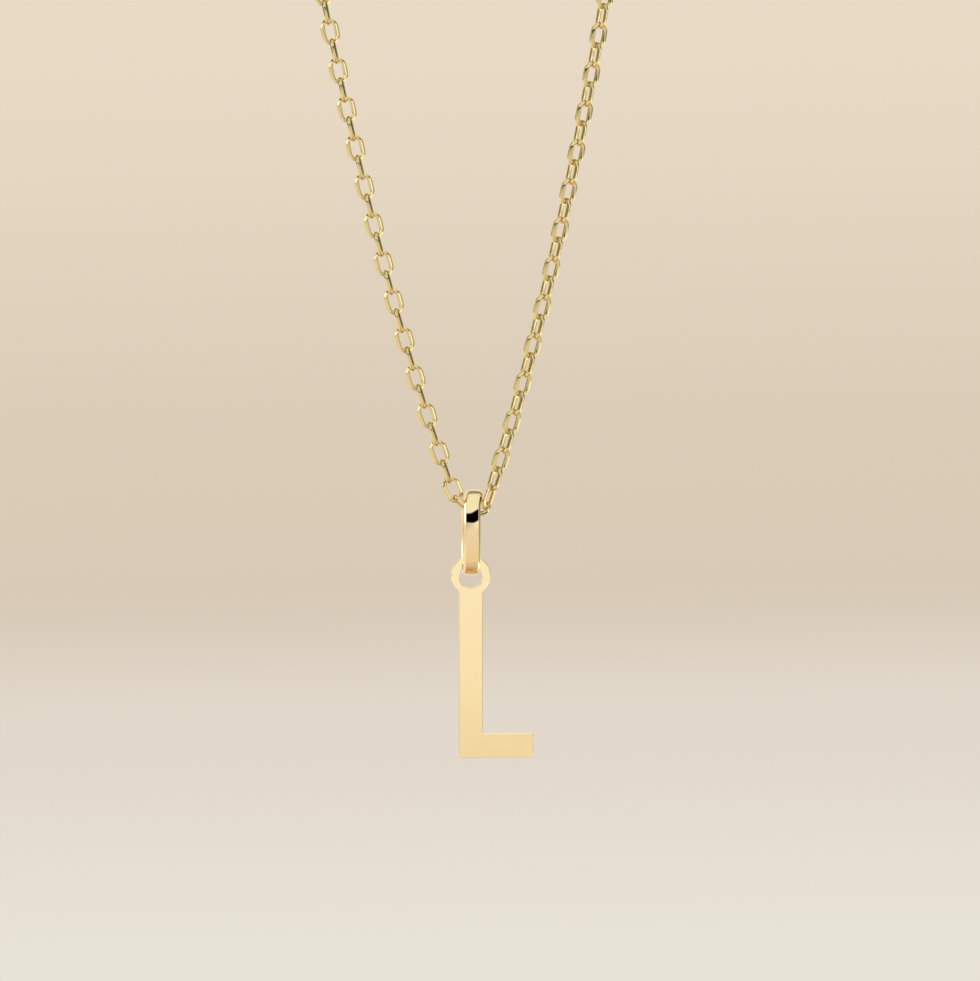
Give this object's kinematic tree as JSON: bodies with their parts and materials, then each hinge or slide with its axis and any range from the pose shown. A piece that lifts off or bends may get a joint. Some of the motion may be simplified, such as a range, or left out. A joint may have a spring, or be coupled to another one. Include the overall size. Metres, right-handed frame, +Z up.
{
  "type": "initial pendant necklace",
  "caption": "Flat block-letter pendant with a ring at its top, hung from a closed oval bail on a fine cable chain that hangs as a whole closed loop with a plain clasp.",
  "frame": {"origin": "the lowest point of the underside of the loop's round top, where the chain lies over the bar or hook that it hangs from", "axes": "+Z up, -Y to the front, from where the letter reads, +X to the right"},
  "size_m": [0.0475, 0.005, 0.2252],
  "materials": {
    "letter_gold": "mirror-polished pale yellow gold, sharp edges",
    "bail_gold": "mirror-polished pale yellow gold",
    "chain_gold": "polished and diamond-cut yellow gold",
    "clasp_gold": "polished yellow gold"
  },
  "bodies": {
    "root": {"chain_front": "chain_gold", "chain_back": "chain_gold", "clasp": "clasp_gold"},
    "bail": {"bail": "bail_gold"},
    "letter": {"letter": "letter_gold"}
  },
  "joints": [
    {"name": "bail_swing", "type": "hinge", "parent": "root", "child": "bail", "pos_m": [-0.00022, 0, -0.20916], "axis": [1, 0, 0], "range_deg": [-45, 45]},
    {"name": "letter_swing", "type": "hinge", "parent": "bail", "child": "letter", "pos_m": [-0.0003, 0, -0.21319], "axis": [0, 1, 0], "range_deg": [-75, 75]}
  ]
}
